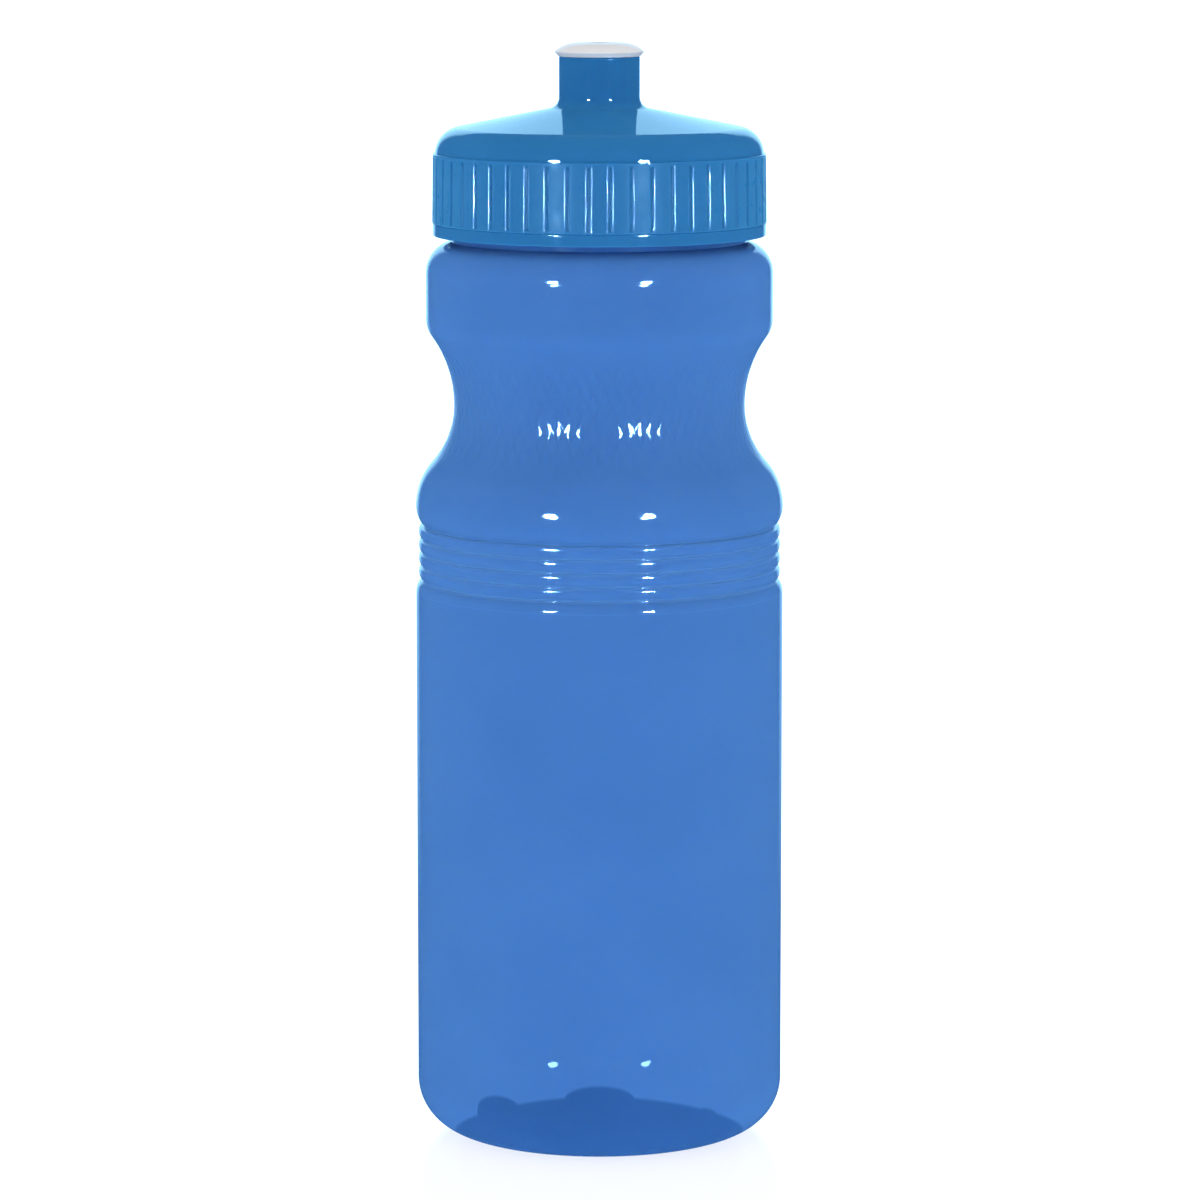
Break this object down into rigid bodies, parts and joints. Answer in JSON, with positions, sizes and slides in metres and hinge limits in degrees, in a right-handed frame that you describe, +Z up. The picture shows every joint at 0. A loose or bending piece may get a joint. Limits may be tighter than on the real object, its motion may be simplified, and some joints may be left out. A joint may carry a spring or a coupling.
{
  "type": "sports squeeze bottle",
  "caption": "Tall soft-walled drinking bottle with a pinched grip waist, ringed shoulder, screw lid and a push-pull mouthpiece on a short tube.",
  "frame": {"origin": "on the ground under the centre of the base", "axes": "+Z up along the bottle's axis towards the mouthpiece; the first base lobe lies towards -Y"},
  "size_m": [0.0744, 0.0744, 0.222],
  "materials": {
    "bottle": "translucent blue, glossy",
    "lid": "solid blue, glossy",
    "seal": "matt off-white",
    "mouthpiece": "satin white, slightly see-through"
  },
  "bodies": {
    "bottle": {"bottle_body": "bottle"},
    "lid_lifter": {"lid_seal": "seal"},
    "lid": {"lid": "lid"},
    "mouthpiece": {"mouthpiece": "mouthpiece"}
  },
  "joints": [
    {"name": "lid_lift", "type": "slide", "parent": "bottle", "child": "lid_lifter", "axis": [0, 0, 1], "range_m": [0, 0.0201]},
    {"name": "lid_turn", "type": "hinge", "parent": "lid_lifter", "child": "lid", "pos_m": [0, 0, 0.19], "axis": [0, 0, 1], "range_deg": [0, 1440]},
    {"name": "mouthpiece_pull", "type": "slide", "parent": "lid", "child": "mouthpiece", "axis": [0, 0, 1], "range_m": [0, 0.0053]}
  ],
  "couplings": [
    {"joint": "lid_lift", "follows": "lid_turn", "m_per_rad": 0.00079577}
  ]
}
